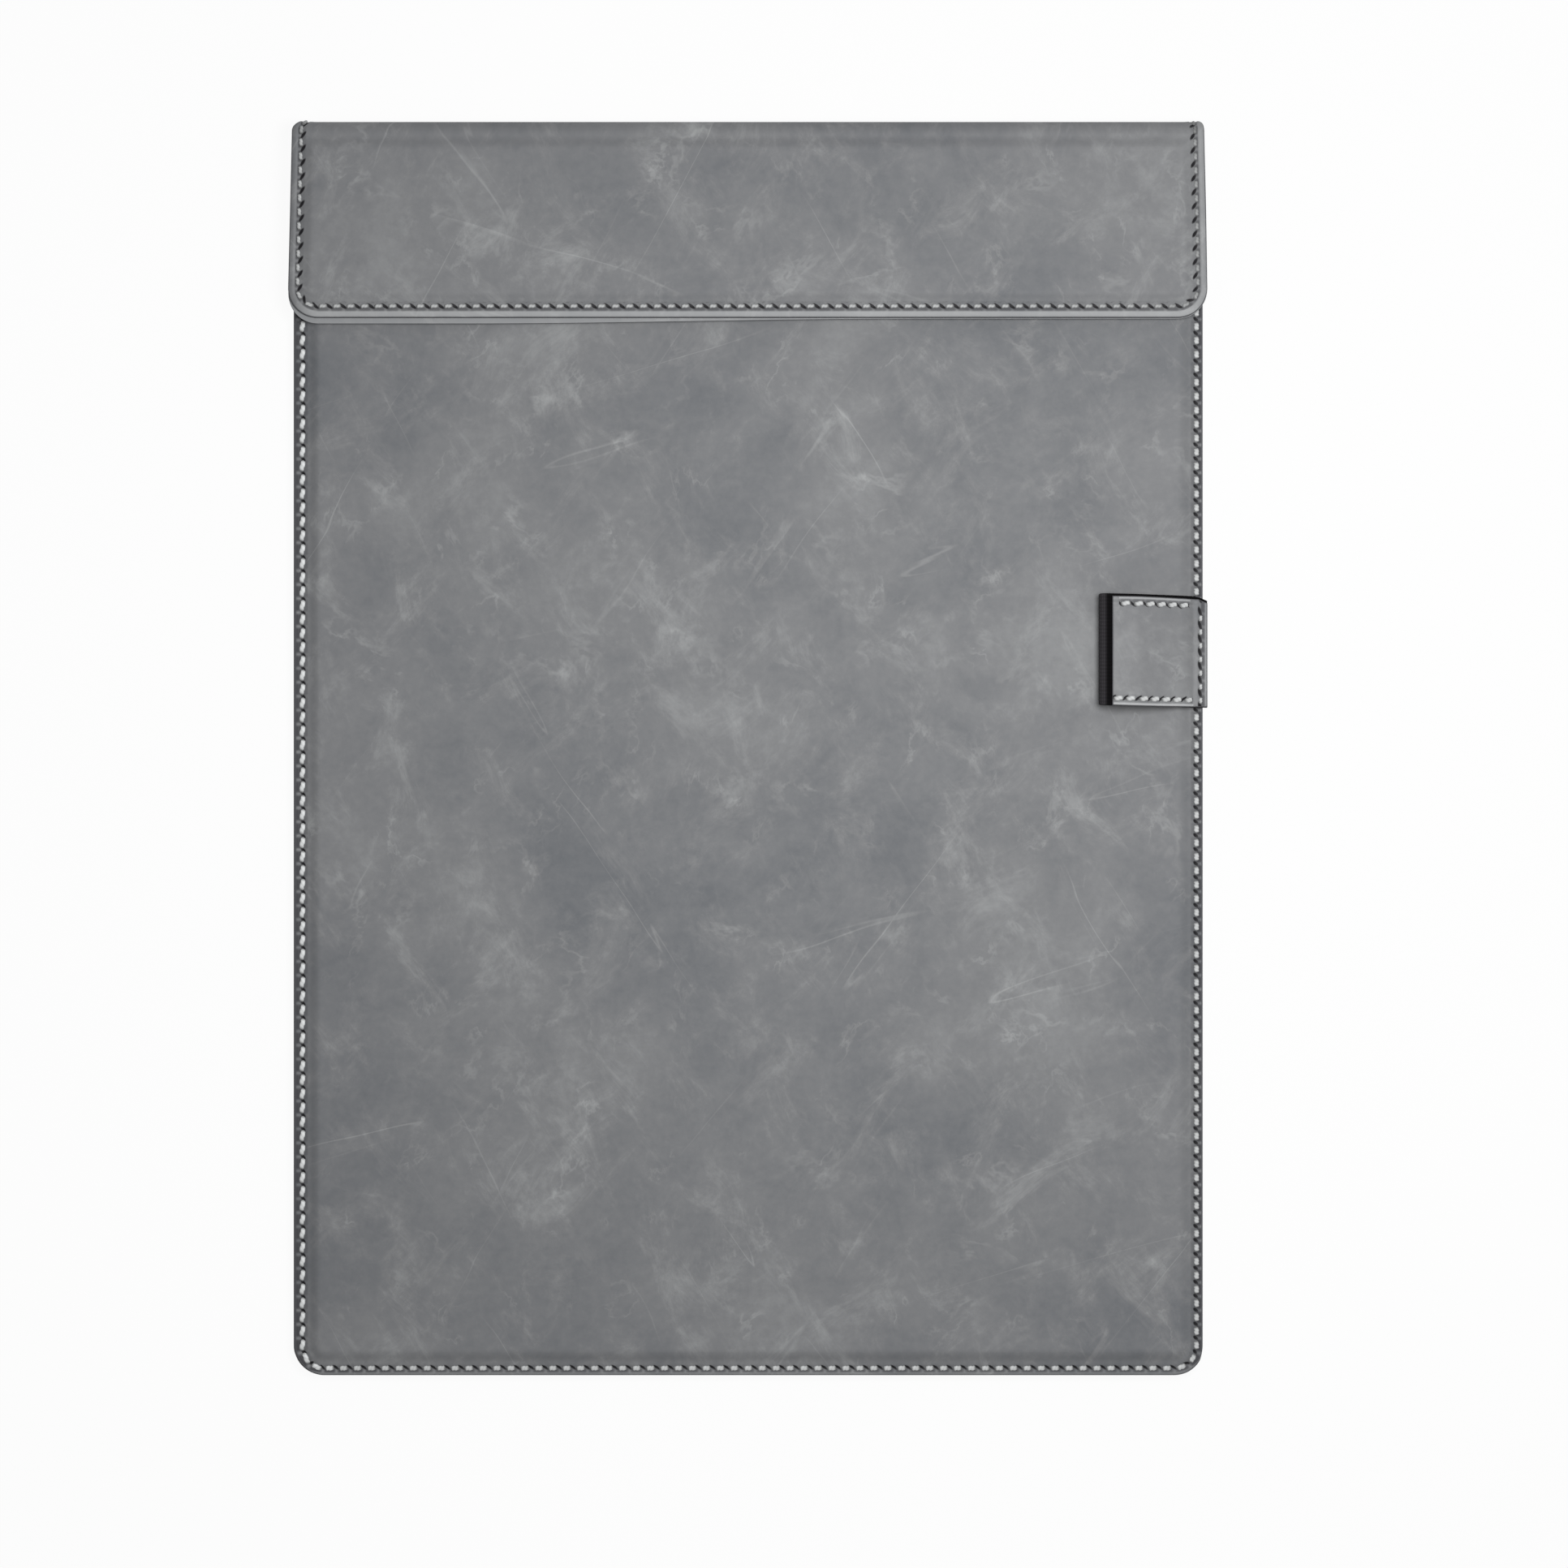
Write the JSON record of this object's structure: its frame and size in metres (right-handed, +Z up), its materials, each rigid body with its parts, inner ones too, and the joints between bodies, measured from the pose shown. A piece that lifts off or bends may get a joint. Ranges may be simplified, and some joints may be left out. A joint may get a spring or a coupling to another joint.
{
  "type": "document folder",
  "caption": "Padded A4 writing board in grey leather cloth, with a magnetic paper flap that folds over its top edge and a black elastic pen loop at the right.",
  "frame": {"origin": "centre of the closed folder's length and width, on the surface that its back lies on", "axes": "+Z up from the back through the writing side, +Y along the board towards the fold, +X towards the edge with the pen loop"},
  "size_m": [0.2302, 0.3145, 0.0136],
  "materials": {
    "leather_cloth": "matt mottled grey, waxed look",
    "stiff_board": "plain grey board",
    "magnet": "nickel plated",
    "thread": "pale grey twisted thread",
    "elastic": "black ribbed elastic"
  },
  "bodies": {
    "board": {"back_cover": "leather_cloth", "front_cover": "leather_cloth", "board_core": "stiff_board", "board_magnets": "magnet", "board_front_stitches": "thread", "board_back_stitches": "thread", "loop_root_elastic": "elastic", "loop_root_facing": "leather_cloth", "loop_seam_stitches": "thread"},
    "spine": {"spine_cover": "leather_cloth", "spine_lining": "leather_cloth", "spine_stitches": "thread"},
    "flap": {"flap_cover": "leather_cloth", "flap_lining": "leather_cloth", "flap_stiffener": "stiff_board", "flap_magnets": "magnet", "flap_front_stitches": "thread", "flap_back_stitches": "thread"},
    "pen_loop": {"loop_elastic": "elastic", "loop_facing": "leather_cloth", "loop_top_stitches": "thread", "loop_bottom_stitches": "thread"}
  },
  "joints": [
    {"name": "spine_fold", "type": "hinge", "parent": "board", "child": "spine", "pos_m": [0, 0.15529, 0.00346], "axis": [-1, 0, 0], "range_deg": [0, 90], "deforming": ["spine_cover", "spine_lining", "spine_stitches"]},
    {"name": "flap_fold", "type": "hinge", "parent": "spine", "child": "flap", "pos_m": [0, 0.15529, 0.00714], "axis": [-1, 0, 0], "range_deg": [0, 90], "deforming": ["spine_cover", "spine_lining", "spine_stitches"]},
    {"name": "pen_loop_lift", "type": "hinge", "parent": "board", "child": "pen_loop", "pos_m": [0.10895, 0.0246, 0.00879], "axis": [0, 1, 0], "range_deg": [0, 90]}
  ],
  "couplings": [
    {"joint": "flap_fold", "follows": "spine_fold", "ratio": 1}
  ]
}
